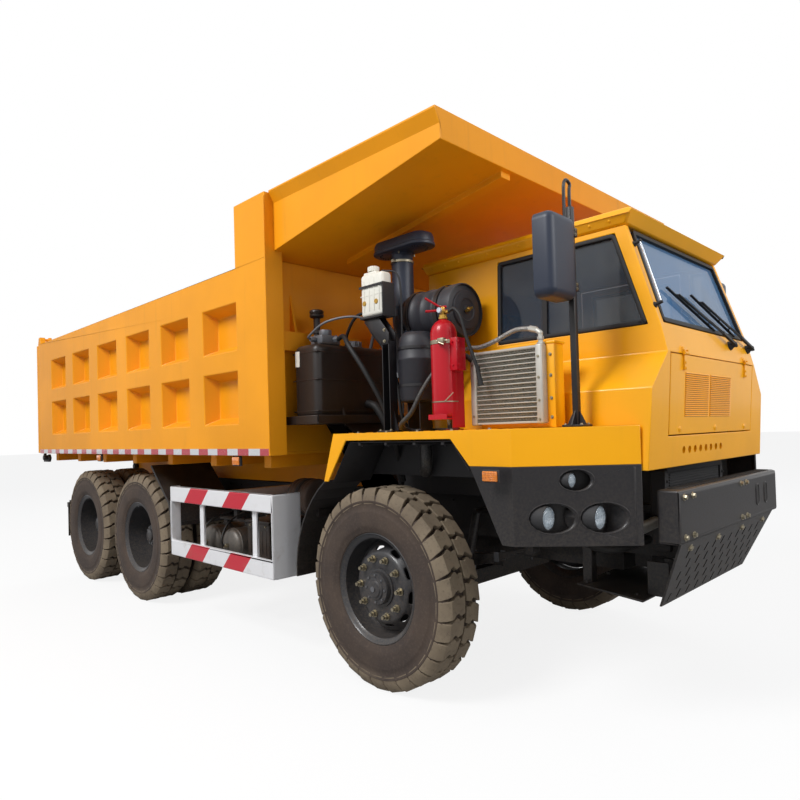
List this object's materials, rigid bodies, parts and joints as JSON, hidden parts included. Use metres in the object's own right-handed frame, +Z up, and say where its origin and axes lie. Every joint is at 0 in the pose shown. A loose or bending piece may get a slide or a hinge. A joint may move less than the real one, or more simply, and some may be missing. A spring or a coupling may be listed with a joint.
{
  "type": "mining dump truck",
  "caption": "Rigid off-road dump truck: central cab, side decks, twin rear wheels, and a tipping ribbed body with a canopy over the cab, raised by a telescopic hoist.",
  "frame": {"origin": "on the ground at the centre of the truck's length and width", "axes": "+X forward, +Y to the driver's left, +Z up"},
  "size_m": [7.78, 2.95, 3.278],
  "materials": {
    "orange_paint": "satin orange-yellow paint",
    "cab_paint": "gloss orange-yellow paint",
    "black_paint": "satin black paint",
    "chassis_paint": "matt black chassis paint",
    "navy_plastic": "textured blue-black",
    "white_paint": "gloss white paint",
    "red_paint": "gloss red paint",
    "window_glass": "tinted",
    "tyre_rubber": "dusty brown-black tread",
    "rim_paint": "dark grey paint",
    "bare_aluminium": "finned core",
    "hoist_chrome": "polished rod",
    "trim_plastic": "dark cab trim"
  },
  "bodies": {
    "chassis": {"chassis_frame": "chassis_paint", "powertrain": "chassis_paint", "front_axle": "chassis_paint", "middle_axle": "chassis_paint", "rear_axle": "chassis_paint", "front_spring_right": "chassis_paint", "front_spring_left": "chassis_paint", "rear_suspension": "chassis_paint", "cab_shell": "cab_paint", "cab_roof": "cab_paint", "windscreen": "window_glass", "side_window_right": "window_glass", "quarter_window_left": "window_glass", "cab_interior": "trim_plastic", "deck_right": "cab_paint", "deck_left": "cab_paint", "lamp_panel_right": "black_paint", "lamp_panel_left": "black_paint", "mudguard_right": "black_paint", "mudguard_left": "black_paint", "bumper": "black_paint", "skid_plate": "black_paint", "side_guard_right": "white_paint", "side_guard_left": "white_paint", "air_tanks": "chassis_paint", "muffler": "chassis_paint", "fuel_tank": "black_paint", "hydraulic_tank": "black_paint", "air_cleaner": "navy_plastic", "coolant_stand": "white_paint", "fire_extinguisher": "red_paint", "oil_cooler": "bare_aluminium", "mirror_right": "navy_plastic", "mirror_left": "navy_plastic", "mid_flaps": "black_paint", "rear_bar": "black_paint"},
    "knuckle_right": {"knuckle_right": "chassis_paint"},
    "knuckle_left": {"knuckle_left": "chassis_paint"},
    "tie_rod": {"tie_rod": "chassis_paint"},
    "front_wheel_right": {"front_tyre_right": "tyre_rubber", "front_rim_right": "rim_paint"},
    "front_wheel_left": {"front_tyre_left": "tyre_rubber", "front_rim_left": "rim_paint"},
    "middle_wheels_right": {"middle_twin_right": "tyre_rubber"},
    "middle_wheels_left": {"middle_twin_left": "tyre_rubber"},
    "rear_wheels_right": {"rear_twin_right": "tyre_rubber"},
    "rear_wheels_left": {"rear_twin_left": "tyre_rubber"},
    "dump_body": {"body_floor": "orange_paint", "body_side_right": "orange_paint", "body_side_left": "orange_paint", "body_front_wall": "orange_paint", "canopy": "orange_paint"},
    "tailgate": {"tailgate": "orange_paint"},
    "hoist_barrel": {"hoist_barrel": "black_paint"},
    "hoist_stage_1": {"hoist_stage_1": "hoist_chrome"},
    "hoist_stage_2": {"hoist_stage_2": "hoist_chrome"},
    "hoist_rod": {"hoist_rod": "hoist_chrome"},
    "door_left": {"door_left": "cab_paint", "door_window_left": "window_glass"},
    "front_panel": {"front_panel": "cab_paint"}
  },
  "joints": [
    {"name": "steer_right", "type": "hinge", "parent": "chassis", "child": "knuckle_right", "pos_m": [2.17, -0.86, 0.62], "axis": [0, 0, 1], "range_deg": [-32, 32]},
    {"name": "steer_left", "type": "hinge", "parent": "chassis", "child": "knuckle_left", "pos_m": [2.17, 0.86, 0.62], "axis": [0, 0, 1], "range_deg": [-32, 32]},
    {"name": "tie_rod_end", "type": "hinge", "parent": "knuckle_right", "child": "tie_rod", "pos_m": [1.93, -0.86, 0.507], "axis": [0, 0, 1], "range_deg": [-32, 32]},
    {"name": "front_wheel_right_spin", "type": "hinge", "parent": "knuckle_right", "child": "front_wheel_right", "pos_m": [2.17, -1.11, 0.62], "axis": [0, 1, 0], "continuous": true},
    {"name": "front_wheel_left_spin", "type": "hinge", "parent": "knuckle_left", "child": "front_wheel_left", "pos_m": [2.17, 1.11, 0.62], "axis": [0, 1, 0], "continuous": true},
    {"name": "middle_wheels_right_spin", "type": "hinge", "parent": "chassis", "child": "middle_wheels_right", "pos_m": [-1.25, -0.989, 0.62], "axis": [0, 1, 0], "continuous": true},
    {"name": "middle_wheels_left_spin", "type": "hinge", "parent": "chassis", "child": "middle_wheels_left", "pos_m": [-1.25, 0.989, 0.62], "axis": [0, 1, 0], "continuous": true},
    {"name": "rear_wheels_right_spin", "type": "hinge", "parent": "chassis", "child": "rear_wheels_right", "pos_m": [-2.67, -0.989, 0.62], "axis": [0, 1, 0], "continuous": true},
    {"name": "rear_wheels_left_spin", "type": "hinge", "parent": "chassis", "child": "rear_wheels_left", "pos_m": [-2.67, 0.989, 0.62], "axis": [0, 1, 0], "continuous": true},
    {"name": "body_tip", "type": "hinge", "parent": "chassis", "child": "dump_body", "pos_m": [-3.35, 0, 1.23], "axis": [0, -1, 0], "range_deg": [0, 45]},
    {"name": "tailgate_swing", "type": "hinge", "parent": "dump_body", "child": "tailgate", "pos_m": [-3.74, 0, 2.868], "axis": [0, 1, 0], "range_deg": [0, 75]},
    {"name": "hoist_lean", "type": "hinge", "parent": "chassis", "child": "hoist_barrel", "pos_m": [1.672, 0, 0.84], "axis": [0, -1, 0], "range_deg": [0, 25.42]},
    {"name": "hoist_stage_1_slide", "type": "slide", "parent": "hoist_barrel", "child": "hoist_stage_1", "axis": [0, 0, 1], "range_m": [0, 1.2468]},
    {"name": "hoist_stage_2_slide", "type": "slide", "parent": "hoist_stage_1", "child": "hoist_stage_2", "axis": [0, 0, 1], "range_m": [0, 1.2468]},
    {"name": "hoist_rod_slide", "type": "slide", "parent": "hoist_stage_2", "child": "hoist_rod", "axis": [0, 0, 1], "range_m": [0, 1.2468]},
    {"name": "door_left_swing", "type": "hinge", "parent": "chassis", "child": "door_left", "pos_m": [3.372, 0.88, 2], "axis": [0, 0, -1], "range_deg": [0, 70]},
    {"name": "front_panel_lift", "type": "hinge", "parent": "chassis", "child": "front_panel", "pos_m": [3.828, 0, 1.955], "axis": [0, -1, 0], "range_deg": [0, 80]}
  ],
  "couplings": [
    {"joint": "steer_left", "follows": "steer_right", "ratio": 1},
    {"joint": "tie_rod_end", "follows": "steer_right", "ratio": -1},
    {"joint": "hoist_lean", "follows": "body_tip", "ratio": 0.56376},
    {"joint": "hoist_stage_1_slide", "follows": "body_tip", "m_per_rad": 1.5869},
    {"joint": "hoist_stage_2_slide", "follows": "body_tip", "m_per_rad": 1.5869},
    {"joint": "hoist_rod_slide", "follows": "body_tip", "m_per_rad": 1.5869}
  ]
}
